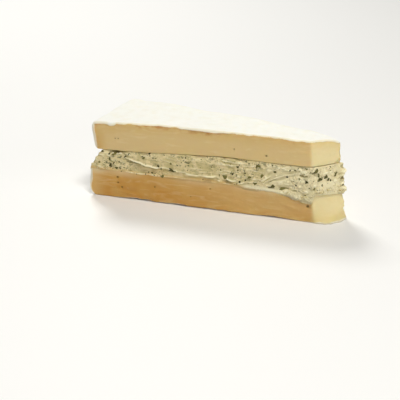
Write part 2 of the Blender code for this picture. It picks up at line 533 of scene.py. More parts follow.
def upper_relief(points, cover, pits):
    """Rind and paste blended by the cover, less the holes, with the far corner torn and drawn
    back, most of all in a notch above the filling."""
    in_rind = smooth(*RIND_STEP, cover)
    relief = in_rind * (rind_relief(points) + 0.3) + (1 - in_rind) * paste_relief(points)
    relief = relief - PIT_DEPTH * pits + torn_corner(points, 0.85, 55)
    notch = smooth(34.5, 31.0, points[..., 2]) + 0.65
    return relief - 1.3 * bell(from_far_corner(points), 0, 4) * notch


# %% Upper half
def upper_half():
    columns = Columns(*HALF_COLUMNS)
    v, w = layer_rows(wall_rows(50), cap_rows(6, 1.6), cap_rows(26, 1.35))
    plain = upper_shape(columns, v, w)
    x, z = plain[..., 0], plain[..., 2]
    near, nose, rim = side_shares(columns)
    cover = upper_cover(columns, plain, v, w)
    pits = pits_at(plain, near) * (v > 0)[:, None]
    points = pushed_out(plain, upper_relief(plain, cover, pits), (w == 0) | (v > 0.5))
    sunk = 1.4 * bell(from_far_corner(points), 0, 3.2) * smooth(HEIGHT - 7, HEIGHT - 1, z)
    points[..., 2] -= sunk
    marks = {
        "cover": cover, "pit": pits,
        # A warm painted shade on the near and far cuts, none on the nose cut, deeper at the rim
        # end.
        "painted_shade": (1 - nose) * (0.95 + 0.35 * bell(x, 2.5, 4) * smooth(42, 38, z)),
        "brown_under_rind": near * smooth(20, 30, x) * smooth(80, 70, x) + 0.3 * (1 - nose),
        "damp_and_shade": 0.25 * np.maximum(rim, near * smooth(4, 1, x)) * smooth(43.5, 38, z),
    }
    return piece_from_grid("upper_half", points, columns, marks)


upper = upper_half()

# %% [markdown]
# The lower half carries the weight. It bulges at the rim, sags into a foot at the nose, and its
# near edge has curled up off the board a little, so that a thin dark gap shows under it. Each of
# these could be a sculpted dent. As formulas they stay easy to move and to measure.

# %% Shape of the lower half
LOWER_THICKNESS = 16.1
FOOT = 5.0                            # radius of the rind's foot at the rim
FAR_LEAN = np.tan(np.radians(2.6))    # the far cut leans out towards the board
LOBE_LENGTH = 23.5                    # of the sagging foot, along the nose cut
CURLS = ((27, 9, 0.9), (48, 9, 0.5), (74, 12, 0.6), (104, 10, 0.6))     # x, reach, height
PALE_BANDS = ((18, 9, 0.7), (60, 16, 0.5), (96, 12, 0.6), (1, 7, 0.9))  # x, reach, strength


def lower_shape(columns, v, w):
    """The plain layer: as the upper one, from the board to the seam."""
    down, up = (1 - v) * LOWER_THICKNESS, v * LOWER_THICKNESS
    bulge = LOWER_BULGE - 0.9 * smooth(6, 19, up) - rounded(down, 0.5)
    edge = -rounded(down, 0.3) - rounded(up, 0.9)
    plan = outline(
        columns,
        edge,
        edge + 0.6 + 0.04 * down,
        edge + (HEIGHT - up) * FAR_LEAN,
        WHEEL_RADIUS + bulge - rounded(up, FOOT),
    )
    x, y = drawn_in(soften(plan, 5), columns, w)
    return np.stack([x, y, (lower_seam(x, y) - SEAM_GAP) * v[:, None]], -1)


def nose_foot(points):
    """The lower half's nose sags out over the board: a lobe along the nose cut, sin(pi * share),
    which grows downwards as a slow lean plus a quick foot."""
    share = np.clip((along_nose(points) + 0.5) / LOBE_LENGTH, 0, 1)
    z = points[..., 2]
    lean = 2.2 * (1 - smooth(2, 16, z))
    foot = 3.6 * np.clip(1 - z / 6.5, 0, 1) ** 1.6
    return np.sin(np.pi * share) * (lean + foot)


def settled(columns, plain, points, v, w):
    """The nose sags out, nothing goes under the board, and the near edge curls up off it."""
    near, nose, _ = side_shares(columns)
    way_out = np.append(CUT_NORMALS[1], 0.0)
    sag = nose_foot(points) * smooth(0.02, 0.0, w)[:, None] * nose
    points = points + way_out * sag[..., None]
    points[..., 2] = np.maximum(points[..., 2], 0)
    curl = sum(height * bell(plain[..., 0], at, reach) for at, reach, height in CURLS)
    curl = curl * (1 + 0.5 * lumps(points, (4, 40, 40), 69)) * near
    shown = np.where(v < 0.5, smooth(0.22, 0, w), 1.0)
    points[..., 2] += curl * shown[:, None] * smooth(6, 0, plain[..., 2])
    return points


# %% Rind and marks of the lower half
def lower_cover(columns, points, v, w):
    """A thin lip of rind at the board, a band at the rim, and nothing but rind underneath."""
    x, y, z = np.moveaxis(points, -1, 0)
    _, nose, rim = side_shares(columns)
    frilled = nose * (0.35 + 0.4 * lumps(points, (1.8, 1.8, 9), 64))
    lip = 0.45 + 0.3 * layered(points, 7, 61, 2) + frilled
    band = 1.0 + 1.1 * smooth(5, 10, z) + 0.3 * lumps(points, 5, 63)
    from_rim = widest - rounded(v * LOWER_THICKNESS, FOOT)[:, None] - np.hypot(x - AXIS[0], y)
    cover = np.maximum(lip - z, band - from_rim)
    cover = np.where((w > 0)[:, None] & (v < 0.5)[:, None], ALL_RIND, cover)
    return cover + (ALL_RIND - cover) * rim * smooth(1, 0.95, v)[:, None]


def lower_relief(columns, points, cover, pits):
    """As on the upper half, with strokes dragged along the foot of the near cut, and a frill of
    rind at the foot of the nose."""
    z = points[..., 2]
    near, nose, _ = side_shares(columns)
    wander = points + 3 * lumps(points, 12, 66)[..., None]
    drag = 1 - np.abs(layered(wander, (24, 24, 5), 67, 2))
    paste = paste_relief(points) + 0.3 * (drag - 0.7) * near * smooth(12, 7, z)
    in_rind = smooth(*RIND_STEP, cover)
    relief = in_rind * (0.6 * rind_relief(points) + 0.2) + (1 - in_rind) * paste
    relief = relief - PIT_DEPTH * pits + torn_corner(points, 0.85, 68)
    return relief + nose * bell(z, 0.5, 0.8) * (0.5 + 0.6 * lumps(points, (2.0, 2.0, 9), 65))


def lower_marks(columns, plain, points):
    """Warm painted shade lies on the near and far cuts, strongest at the rim end, milk is pale
    bands under the filling, and brown rind lies at the board, partly as painted shade under the
    curled edge, and, weaker, at the rim."""
    x, z = plain[..., 0], plain[..., 2]
    near, nose, rim = side_shares(columns)
    # Warm painted shade on the near and far cuts, none on the nose cut: deeper low down and at the
    # rim end, less towards the nose and at the far corner.
    painted_shade = (1 - nose) * (2.3 + 0.15 * smooth(15, 3, z)) * (1 - 0.27 * smooth(25, 105, x))
    painted_shade = painted_shade * (1 - 0.3 * bell(x, -2, 6)) * (1 - 0.8 * bell(from_far_corner(points), 0, 9))
    pale = sum(strength * bell(x, at, reach) for at, reach, strength in PALE_BANDS)
    # Brown rind at the board, which also stands in as painted shade in the gap under the curled
    # edge.
    damp_and_shade = np.clip(1 - rim - 0.7 * nose, 0, 1) * smooth(1.6, 0.6, z)
    damp_and_shade = damp_and_shade * (0.75 + 0.35 * lumps(points, 6, 70))
    return {
        "painted_shade": painted_shade,
        "milk": near * smooth(11.5, 15.6, z) * pale,
        "brown_under_rind": 0.2 * (1 - nose) * (1 - smooth(5, 10, z) * bell(x, -3, 4)),
        "damp_and_shade": np.maximum(damp_and_shade, 0.25 * np.maximum(rim, near * smooth(2, -2, x))),
    }


# %% Lower half
def lower_half():
    columns = Columns(*HALF_COLUMNS)
    v, w = layer_rows(wall_rows(48), cap_rows(16, 1.5), cap_rows(6, 1.6))
    plain = lower_shape(columns, v, w)
    cover = lower_cover(columns, plain, v, w)
    pits = pits_at(plain, side_share(columns, NEAR)) * (v < 1)[:, None]
    relief = lower_relief(columns, plain, cover, pits) * smooth(0, 0.02, v)[:, None]
    points = pushed_out(plain, relief, (w == 0) | (v < 0.5))
    points = settled(columns, plain, points, v, w)
    marks = {"cover": cover, "pit": pits, **lower_marks(columns, plain, points)}
    return piece_from_grid("lower_half", points, columns, marks)


lower = lower_half()

# %% [markdown]
# ## The filling
# Fresh cheese with herbs is soft but crumbly. The knife drags parts of it smooth and tears the
# rest into crumbs, and at the bottom it smears a thin film over the lower half. So the relief is a
# blend of a smooth surface with folds and a torn one with crumbs of three sizes. The near cut also
# has a few features of its own: a long ridge, a scoop of curved strokes near the nose, a rolled lip
# under it, and dark crevices under the upper half. Sculpting by hand would do all this as well, but
# a sum of formulas can be changed one line at a time.

# %% Places on the filling
SMEAR_AT = (-2, 10, 23, 39, 55, 70, 78, 96, 106, 111, 115, 118, 122, 126)
SMEAR_Z = (16.4, 16.3, 15.8, 15.6, 16.6, 16.8, 16.2, 15.0, 14.6, 14.1, 13.3, 12.8, 11.8, 11.0)
RIDGE_AT = (16, 20, 27, 33, 37, 44, 49, 60, 72, 90)
RIDGE_Z = (24.8, 23.8, 22.2, 21.0, 20.6, 20.5, 19.6, 19.0, 19.3, 18.0)
CREVICES = (    # x, reach, depth
    (13.0, 4.0, 2.6), (30.5, 2.5, 0.5), (62.5, 5.0, 0.6), (77.0, 2.2, 0.6), (85.5, 3.0, 0.8),
    (112.0, 6.0, 0.5), (119.5, 2.5, 0.9),
)
NEAR_CLODS = (    # x, height, reach, how far it stands out
    (3.0, 19.0, 2.4, 0.7), (5.0, 24.0, 1.8, 0.6), (1.0, 22.0, 1.6, 0.5), (8.0, 17.5, 2.0, 0.4),
    (73.5, 17.6, 1.1, 0.8), (86.0, 17.0, 2.0, 0.4), (99.0, 20.8, 2.0, 0.4), (108.0, 20.6, 1.8, 0.5),
    (117.0, 13.4, 0.8, 0.6), (121.0, 11.4, 0.8, 0.6), (119.5, 15.0, 0.9, 0.6),
    (122.5, 13.2, 1.0, 0.7), (118.0, 25.0, 1.8, 0.4), (122.5, 27.0, 1.6, 0.5),
    (123.0, 17.5, 1.2, 0.6),
)
NOSE_CLODS = (    # distance along the nose cut, height, reach, how far it stands out
    (19.0, 27.0, 1.6, 2.0), (18.5, 24.9, 1.1, 1.2), (19.8, 17.2, 1.5, 2.2), (19.0, 20.2, 1.0, 0.9),
    (18.5, 22.9, 0.9, -1.1), (19.5, 29.4, 1.1, -2.0), (19.5, 18.9, 0.8, -0.9),
    (2.0, 11.0, 0.7, 0.8), (1.0, 13.0, 0.9, 0.8), (4.0, 17.5, 1.3, 0.7), (2.0, 21.5, 1.4, 0.6),
    (8.0, 28.0, 1.6, 0.5), (12.0, 27.5, 1.6, 0.5), (14.5, 22.5, 1.4, 0.4),
)
DRIFTS = (    # x, height, reach: where the herbs crowd together
    (12, 21, 9), (8, 18.5, 3), (54, 26, 4.5), (83, 23, 2.5), (95, 28, 2.5), (120, 23, 4),
    (40, 16.5, 4),
)
print("clods:", len(NEAR_CLODS + NOSE_CLODS), "crevices:", len(CREVICES), "drifts:", len(DRIFTS))


# %% Lines and drifts
def ripple(x, size, seed):
    """Lumps that change along x only."""
    return lumps(np.stack([x, 0 * x, 0 * x], -1), size, seed)


def ridge_height(x):
    """Height of the long crease that the knife left on the near cut: read off RIDGE_Z, wavering."""
    return np.interp(x, RIDGE_AT, RIDGE_Z) + 0.35 * ripple(x, 3, 91)


def smear_line(x):
    """Height of the lower edge of the film that the knife smeared over the near cut. It wavers,
    and more so towards the nose."""
    waver = 0.30 * ripple(x, 4.5, 92) + (0.12 + 0.35 * smooth(104, 114, x)) * ripple(x, 1.8, 93)
    return np.interp(x, SMEAR_AT, SMEAR_Z) + waver


def drift(points):
    """How crowded the herbs are, 0 to 1: slow noise, and bells at the drifts' places."""
    x, z = points[..., 0], points[..., 2]
    gathered = sum(bell(np.hypot(x - dx, z - dz), 0, reach) for dx, dz, reach in DRIFTS)
    slow = layered(points, (9, 9, 6), 81, 2)
    return np.clip(0.22 + 0.35 * slow + 0.75 * gathered, 0, 1)


# %% Folds and strokes
def folds(points, long, short, seed):
    """Thin ridges along x: (1 - |noise|)^3, with the noise stretched along x and pushed about."""
    pushed = points + np.array([0, 0, 1.0]) * 1.3 * lumps(points, 6, seed)[..., None]
    return np.clip(1 - np.abs(layered(pushed, (long, long, short), seed + 1, 2)), 0, 1) ** 3


SCOOP_X, SCOOP_Z = 107, 25.5          # the middle of the scoop on the near cut
SCOOP_TURN = np.radians(24)
SCOOP_BEND = 0.018
SCOOP_LONG, SCOOP_SHORT = 11.5, 4.2   # half its length and half its height


def scoop(points, near):
    """Curved strokes of the spoon near the nose: folds on axes that are turned, and bent a little
    by a square, inside an oval."""
    x, z = points[..., 0] - SCOOP_X, points[..., 2] - SCOOP_Z
    s = x * np.cos(SCOOP_TURN) + z * np.sin(SCOOP_TURN)
    t = z * np.cos(SCOOP_TURN) - x * np.sin(SCOOP_TURN) + SCOOP_BEND * s**2
    inside = smooth(1.15, 0.75, np.hypot(s / SCOOP_LONG, t / SCOOP_SHORT)) * near
    strokes = folds(np.stack([s, 0 * s, t], -1), 9, 1.9, 94)
    return inside, 0.8 * strokes - 0.38


# %% Torn or smooth
def torn_share(points, below):
    """0 where the knife left the filling smooth and 1 where it is all crumbs: both ends are torn,
    the long middle is smooth, and noise adds patches of either."""
    x = points[..., 0]
    bias = 0.55 * smooth(104, 120, x) + 0.35 * smooth(12, 4, x) - 0.45 * bell(x, 45, 35)
    patches = 0.55 * layered(points, (12, 12, 6), 71, 2)
    return np.clip(0.42 + bias + 0.25 * below + patches, 0.05, 1)


def pressed(points, nose):
    """1 on the low middle of the nose, where the knife pressed the filling smooth and pale."""
    u, z = along_nose(points), points[..., 2]
    wobble = 0.9 * lumps(points, 3.5, 103)
    between = smooth(3.5, 6, u + wobble) * smooth(18.5, 16.5, u + wobble)
    return nose * between * smooth(22.5, 20.5, z + wobble)


# %% Relief of the filling
def crumbs_and_folds(points, torn, near, nose):
    """torn * crumbs + (1 - torn) * folds, weaker in the smooth middle and on the far cut."""
    x = points[..., 0]
    coarse, middling = crumbs(points, (4.4, 4.4, 3.2), 72), crumbs(points, (2.0, 2.0, 1.6), 73)
    crumbly = 1.15 * coarse + 0.62 * middling
    crumbly = crumbly + (0.30 + 0.25 * smooth(106, 114, x)) * crumbs(points, 0.95, 74) - 1.40
    dragged = 0.75 * folds(points, 19, 3.2, 76) + 0.25 * folds(points, 8, 1.2, 78) - 0.25
    calm = 1 - 0.45 * near * smooth(20, 28, x) * smooth(78, 68, x) - 0.35 * (1 - near - nose)
    return (torn * crumbly + (1 - torn) * dragged) * calm


def with_clods(relief, share, along, z, clods):
    """Adds a bell for each clod on one side of the filling."""
    for at, height, reach, push in clods:
        relief = relief + share * push * bell(np.hypot(along - at, z - height), 0, reach)
    return relief


def filling_relief(points, near, nose):
    """Height in millimetres: crumbs and folds, then the features one by one. The ridge is a bell
    round its line, and the filling is sunk a little below it."""
    x, z = points[..., 0], points[..., 2]
    ridge_at = ridge_height(x)
    span = smooth(16, 23, x) * smooth(88, 77, x) * near
    below = smooth(0.5, -1.2, z - ridge_at) * span
    relief = crumbs_and_folds(points, torn_share(points, below), near, nose)
    inside, strokes = scoop(points, near)
    relief = relief + inside * (strokes - 0.8 * relief)
    crest = 0.95 * bell(z, ridge_at, 0.6) * np.clip(0.5 + 1.3 * ripple(x, 4, 95), 0.05, 1.3)
    relief = with_clods(relief + span * crest - 0.55 * below, near, x, z, NEAR_CLODS)
    relief = relief * (1 - 0.75 * pressed(points, nose)) - 0.35 * nose * smooth(19, 16, z)
    relief = with_clods(relief, nose, along_nose(points), z, NOSE_CLODS)
    return relief + torn_corner(points, 0.7, 97)


def film_over_halves(points, relief, low, near):
    """Under the lower seam the filling is a film that lies on the paste and thins out at its edge.
    Towards the nose the film's edge is a rolled lip, with a hollow above it."""
    x, z = points[..., 0], points[..., 2]
    film = smooth(0.7, -0.7, z - lower_seam(x, points[..., 1]))
    smoothed = film * (1 - 0.6 * near * smooth(98, 112, x))
    on_paste = paste_relief(points)
    relief = relief * (1 - 0.8 * smoothed) + (on_paste + 0.15) * film
    line = z - smear_line(x)
    rolled = 0.32 * (0.75 + 0.7 * ripple(x, 2.6, 96)) * bell(line, 1.1, 0.7)
    relief = relief + near * smooth(94, 106, x) * smooth(125, 121, x) * rolled
    hollow = near * smooth(104, 110, x) * smooth(124, 117, x) * 0.8 * bell(line, 3.6, 1.2)
    relief = relief - hollow
    relief = relief + film * np.maximum(on_paste + 0.12 - relief, 0)
    return relief - 0.45 * (1 - smooth(0, 1.3, z - low))


# %% Shape of the filling
FILLING_THICKNESS = 13.0
FILLING_COLUMNS = (476, 96, 150)


def flap_length(columns, plan):
    """How far the filling hangs below the lower seam: to the film's edge on the near cut, a little
    on the other sides, and further again where it is wrapped round the corner of the nose."""
    x, y = plan[..., 0], plan[..., 1]
    near, nose, rim = side_shares(columns)
    flap = near * np.maximum(lower_seam(x, y) - smear_line(x) + 0.9, 0.9) + 0.8 * rim
    wrapped = nose * 3.6 * smooth(2.8, 0.2, along_nose(plan) + 0.4 * ripple(y, 1.1, 102))
    return flap + (1 - near) * (0.8 + 0.3 * ripple(x + y, 3, 98)) + wrapped


def filling_shape(columns, v, w):
    """The plain layer, and the height of its lower edge. Its rim slopes in under the upper half."""
    down, up = (1 - v) * FILLING_THICKNESS, v * FILLING_THICKNESS
    edge = -rounded(down, 0.3)
    plan = outline(
        columns,
        edge,
        edge + 0.6 + 0.03 * down,
        edge + (HEIGHT - 16 - up) * FAR_LEAN,
        WHEEL_RADIUS + (3.1 - 7.8 * v**1.5) - rounded(down, 0.8),
    )
    plan = np.stack(drawn_in(soften(plan, 6), columns, w), -1)
    x, y = plan[..., 0], plan[..., 1]
    low = lower_seam(x, y) - flap_length(columns, plan) * (1 - smooth(0, 0.05, w))[:, None]
    high = upper_seam(x, y) - SEAM_GAP
    return np.stack([x, y, low + (high - low) * v[:, None]], -1), low


def tucked_under(points, relief, near):
    """Under the upper half the relief calms down, and dark crevices open here and there."""
    x, y, z = np.moveaxis(points, -1, 0)
    below_lid = upper_seam(x, y) - SEAM_GAP - z
    under_lid = smooth(1.6, 0.3, below_lid)
    crevice = near * sum(depth * bell(x, at, reach) for at, reach, depth in CREVICES)
    relief = relief * (1 - 0.7 * under_lid) + 0.05 * under_lid
    return relief - crevice * smooth(1.9, 0.8, below_lid + 0.5 * ripple(x, 2.2, 101))


# %% Marks of the filling
def hollows(relief):
    """How far each point lies below the mean of its neighbourhood: the mean less the relief."""
    mean = relief
    for _ in range(10):
        mean = (np.roll(mean, 1, 1) + mean + np.roll(mean, -1, 1)) / 3
        mean = (np.roll(mean, 1, 0) + mean + np.roll(mean, -1, 0)) / 3
    return mean - relief


def filling_marks(points, relief, columns):
    """Hollow for the creases, which the finish turns into painted shade there and a painted
    highlight on the ridges, smear for the share of paste in the film, milk for the white bands,
    and drift for the crowding of the herbs."""
    x, z = points[..., 0], points[..., 2]
    near, nose, _ = side_shares(columns)
    line = smear_line(x) + 0.3 * lumps(points, 2, 99)
    smear = near * smooth(1.1, -0.5, z - line - 0.6 * smooth(112, 104, x))
    smear = smear * (1 - 0.6 * smooth(108, 116, x))
    under = near * smooth(0.2, -1.5, z - ridge_height(x)) * smooth(22, 34, x) * smooth(84, 70, x)
    under = under * (0.6 + 0.5 * layered(points, 5, 100, 2))
    milk = 1.5 * near * bell(z - line, 0.9, 1.2) * smooth(84, 90, x) * smooth(112, 100, x)
    milk = milk + 0.85 * smooth(92, 112, x) * (1 - 0.15 * nose) + 0.5 * pressed(points, nose)
    return {
        "hollow": hollows(relief), "smear": np.maximum(smear, 0.45 * under),
        "milk": milk, "drift": drift(points),
    }


# %% Filling
def filling_surface():
    """The columns, the points of the torn surface, its relief and the inward share of each row."""
    columns = Columns(*FILLING_COLUMNS)
    v, w = layer_rows(wall_rows(60), cap_rows(6, 1.5), cap_rows(6, 1.5))
    plain, low = filling_shape(columns, v, w)
    near, nose, _ = side_shares(columns)
    relief = filling_relief(plain, near, nose)
    relief = film_over_halves(plain, relief, low, near)
    relief = tucked_under(plain, relief, near)
    return columns, pushed_out(plain, relief, w == 0), relief, w


columns, filling_points, relief, filling_w = filling_surface()
marks = filling_marks(filling_points, relief, columns)
filling = piece_from_grid("filling", filling_points, columns, marks)
print("filling stands out by", relief[filling_w == 0].mean().round(2), "mm on average")

# %% [markdown]
# ## Herbs and crumbs
# Each herb fleck is a small chip of leaf: a flattened ball with a jagged outline, forty-eight
# triangles, bent a little and pressed half into the filling. Loose crumbs of the filling are the
# same ball, rounder. A particle system could scatter copies of one chip, but they would all be
# alike, so the points of all chips are worked out in one array. The large flecks have their own
# places, and the rest gather in the drifts.

# %% Places of the large flecks
LEAVES = (    # on the near cut: x, height, length, turn in degrees
    (12.6, 26.3, 3.4, 14), (8.6, 25.6, 1.7, 60), (18.2, 24.6, 1.5, 70), (20.6, 26.9, 1.2, 50),
    (24.7, 22.5, 2.4, 20), (34.3, 17.4, 1.4, -30), (37.9, 21.6, 1.4, 80), (46.0, 19.9, 2.9, -18),
    (45.4, 24.2, 1.7, 0), (40.6, 16.2, 1.6, 20), (77.0, 20.8, 2.8, 82), (91.2, 21.5, 1.7, 5),
    (98.2, 23.4, 2.3, 78), (103.4, 17.7, 2.8, 35), (109.3, 17.9, 3.2, -6), (112.0, 24.4, 1.4, -40),
    (117.6, 20.3, 1.4, 10), (122.9, 22.9, 2.2, -50), (84.6, 26.6, 2.0, 30), (81.6, 22.9, 1.5, 40),
    (96.0, 28.6, 2.4, -45), (85.6, 18.3, 1.6, 0), (78.0, 18.0, 2.2, -5), (105.2, 26.4, 1.5, 35),
    (94.1, 18.2, 2.0, -30), (15.0, 17.8, 1.4, -25), (118.6, 24.2, 1.4, 50), (116.3, 28.8, 1.2, -20),
    (9.0, 22.6, 1.7, 80), (9.2, 18.9, 2.1, 70), (12.6, 17.9, 1.9, -25), (11.4, 20.6, 1.3, 55),
    (14.8, 21.6, 1.1, 25), (2.6, 20.4, 1.5, 20), (33.0, 29.0, 1.5, -70), (28.8, 26.2, 1.2, 30),
    (104.3, 18.3, 2.2, 60),
)
NOSE_LEAVES = (    # on the nose cut: distance along it, height, length, turn in degrees
    (2.9, 29.2, 4.2, 80), (3.8, 26.8, 2.4, -70), (5.1, 24.2, 3.8, -20), (3.9, 23.4, 2.2, 40),
    (8.4, 25.4, 3.0, 70), (10.6, 23.6, 2.4, -35), (11.8, 22.8, 1.8, -60), (14.9, 25.8, 2.8, 55),
    (18.6, 26.2, 1.3, 70), (1.8, 19.6, 2.2, 60), (6.5, 20.2, 1.2, 20),
    (18.5, 17.0, 0.8, -10), (12.0, 28.0, 1.1, 10),
)
print(len(LEAVES), "large flecks on the near cut,", len(NOSE_LEAVES), "on the nose")


# %% Where chips lie
def chosen_places(points, wall):
    """Rows and columns of the grid points nearest to the leaves that have their own places."""
    on_near = [(x, 0.0, z) for x, z, _, _ in LEAVES]
    on_nose = [(*(NOSE_CORNER + NOSE_WAY * u), z) for u, z, _, _ in NOSE_LEAVES]
    surface = points[wall][:, ::2]
    away = [((surface - place) ** 2).sum(-1).argmin() for place in on_near + on_nose]
    row, column = np.unravel_index(away, surface.shape[:2])
    sizes = np.array([(length, turn) for _, _, length, turn in LEAVES + NOSE_LEAVES])
    return wall[row], column * 2, sizes[:, 0], np.radians(sizes[:, 1])


def scattered(points, wall, rng, wanted, crowding):
    """Grid places picked at random, kept where a random number is under the local crowding."""
    tries = wanted * 6
    row, column = rng.choice(wall[6:-2], tries), rng.integers(0, points.shape[1], tries)
    kept = np.flatnonzero(rng.random(tries) < crowding(points[row, column]))[:wanted]
    return row[kept], column[kept]


# %% Shape of the chips
CHIP_RINGS = np.radians([45.0, 0.0, -45.0])
CHIP_SIDES = 8


def chip_axes(out, turn, tilt):
    """Unit directions along, across and through each chip. It is turned in the surface by turn,
    then tipped out of it by two small amounts, and each axis is squared up by a cross product."""
    level = np.cross((0, 0, 1.0), out)
    level /= np.linalg.norm(level, axis=-1, keepdims=True)
    rise = np.cross(out, level)
    along = level * np.cos(turn)[:, None] + rise * np.sin(turn)[:, None] + out * tilt[:, :1]
    along /= np.linalg.norm(along, axis=-1, keepdims=True)
    across = np.cross(out + tilt[:, 1:] * level, along)
    across /= np.linalg.norm(across, axis=-1, keepdims=True)
    return along, across, np.cross(along, across)


def chip_points(centre, axes, length, width, thick, rng):
    """Two poles and three rings for each chip. A ring is an ellipse times a jagged number for each
    of its eight points, and the chip is bent by 0.1 * a * b, so that it curls like a leaf."""
    lon = np.arange(CHIP_SIDES) * 2 * np.pi / CHIP_SIDES
    jag = rng.uniform(0.5, 1.25, (len(centre), 1, CHIP_SIDES)) * np.cos(CHIP_RINGS)[:, None] ** 0.7
    a = 0.5 * length[:, None, None] * jag * np.cos(lon)
    b = 0.5 * width[:, None, None] * jag * np.sin(lon)
    c = 0.5 * thick[:, None, None] * np.sin(CHIP_RINGS)[:, None] + 0.10 * a * b
    along, across, through = (axis[:, None, None] for axis in axes)
    rings = a[..., None] * along + b[..., None] * across + c[..., None] * through
    pole = 0.5 * thick[:, None, None] * through[:, 0]
    return centre[:, None] + np.concatenate([pole, rings.reshape(len(centre), -1, 3), -pole], 1)


def chip_faces(count):
    """Squares between the rings and triangles to the poles, repeated for every chip."""
    s = np.arange(CHIP_SIDES)
    t = (s + 1) % CHIP_SIDES
    tops = [1 + CHIP_SIDES * ring for ring in range(len(CHIP_RINGS))]
    last = tops[-1] + CHIP_SIDES
    squares = np.concatenate([
        np.stack([top + s, top + CHIP_SIDES + s, top + CHIP_SIDES + t, top + t], -1)
        for top in tops[:-1]
    ])
    caps = np.concatenate([
        np.stack([0 * s, tops[0] + s, tops[0] + t], -1),
        np.stack([0 * s + last, tops[-1] + t, tops[-1] + s], -1),
    ])
    first = (np.arange(count) * (last + 1))[:, None, None]
    return (squares + first).reshape(-1, 4).tolist() + (caps + first).reshape(-1, 3).tolist()


def chips_piece(name, points, mark, tint):
    """One mesh of all the chips, with a mark that tells them apart."""
    mesh = bpy.data.meshes.new(name)
    mesh.from_pydata(to_model(points.reshape(-1, 3)), [], chip_faces(len(points)))
    values = np.repeat(tint, points.shape[1]).astype(np.float32)
    mesh.attributes.new(mark, "FLOAT", "POINT").data.foreach_set("value", values)
    mesh.shade_smooth()
    piece = bpy.data.objects.new(name, mesh)
    bpy.context.scene.collection.objects.link(piece)
    print(f"{name}: {len(points)} chips, {len(mesh.polygons)} faces")
    return piece


# %% Herb flecks and crumbs
def herb_crowding(points):
    """Flecks gather in the drifts. Near the rim most are smudges instead, and the tip has few."""
    x, z = points[..., 0], points[..., 2]
    at_rim, at_tip = smooth(29, 21, x) * smooth(-6, 0, x), smooth(111, 116, x) * smooth(19, 16, z)
    return (0.08 + 0.9 * drift(points) ** 1.5) * (1 - (0.9 * at_rim + 0.9 * at_tip))


def herb_flecks(points, wall, normal):
    rng = np.random.default_rng(7)
    row, column, length, turn = chosen_places(points, wall)
    own = len(row)
    more_row, more_column = scattered(points, wall, rng, 340, herb_crowding)
    row, column = np.append(row, more_row), np.append(column, more_column)
    length = np.append(1.25 * length, np.clip(rng.lognormal(-0.05, 0.5, len(row) - own), 0.4, 2.4))
    turn = np.append(turn, rng.uniform(0, np.pi, len(row) - own))
    tilt = rng.normal(0, 0.35, (len(row), 2))
    tilt[:own] *= 0.3
    out = normal[row, column]
    width = length * rng.uniform(0.35, 0.65, len(row))
    width[:own] *= 1.45
    thick = np.clip(0.18 * length, 0.16, 0.34)
    centre = points[row, column] + out * (0.10 * thick)[:, None]
    shape = chip_points(centre, chip_axes(out, turn, tilt), length, width, thick, rng)
    return chips_piece("herb_flecks", shape, "tint", rng.random(len(row)))


def curd_crowding(points):
    """Crumbs lie where the filling is torn: at the nose, and a few along the whole cut."""
    x, z = points[..., 0], points[..., 2]
    low_nose = smooth(106, 116, x) * smooth(22, 15, z)
    return 0.05 + 0.25 * smooth(96, 120, x) + 0.9 * low_nose + 0.25 * smooth(14, 3, x)


def curd_crumbs(points, wall, normal):
    rng = np.random.default_rng(11)
    row, column = scattered(points, wall, rng, 420, curd_crowding)
    count = len(row)
    length = np.clip(rng.lognormal(-0.15, 0.35, count), 0.45, 1.9)
    length = length * (1 + 0.3 * curd_crowding(points[row, column]))
    out = normal[row, column]
    axes = chip_axes(out, rng.uniform(0, np.pi, count), rng.normal(0, 0.4, (count, 2)))
    width, thick = length * rng.uniform(0.6, 0.95, count), length * rng.uniform(0.45, 0.75, count)
    shape = chip_points(points[row, column], axes, length, width, thick, rng)
    return chips_piece("curd_crumbs", shape, "milk", 1.3 * rng.random(count))


wall = np.flatnonzero(filling_w == 0)
filling_normals = facing(filling_points)
flecks = herb_flecks(filling_points, wall, filling_normals)
crumb_bits = curd_crumbs(filling_points, wall, filling_normals)

# %% [markdown]
# ## Writing shaders as sums
# A finish is mostly arithmetic on noise. Wiring it by hand in the node editor gives the same tree,
# but a long sum is easier to read as text. So one small class wraps a socket, masks can be added
# and multiplied as in Python, and each sum adds its Math node. One method adds any other node.

# %% Wires
class Wire:
    """An output socket that can be used in sums."""

    def __init__(self, finish, socket):
        self.finish, self.socket = finish, socket

    def __add__(self, other):
        return self.finish.maths("ADD", self, other)

    def __radd__(self, other):
        return self.finish.maths("ADD", other, self)

    def __sub__(self, other):
        return self.finish.maths("SUBTRACT", self, other)

    def __rsub__(self, other):
        return self.finish.maths("SUBTRACT", other, self)

    def __mul__(self, other):
        return self.finish.maths("MULTIPLY", self, other)

    def __rmul__(self, other):
        return self.finish.maths("MULTIPLY", other, self)

    def rise(self, start, end):
        """0 below start, 1 above end, and a smooth step between."""
        return self.finish.node("MapRange", {"interpolation_type": "SMOOTHSTEP"}, {
            "Value": self, "From Min": start, "From Max": end,
        })


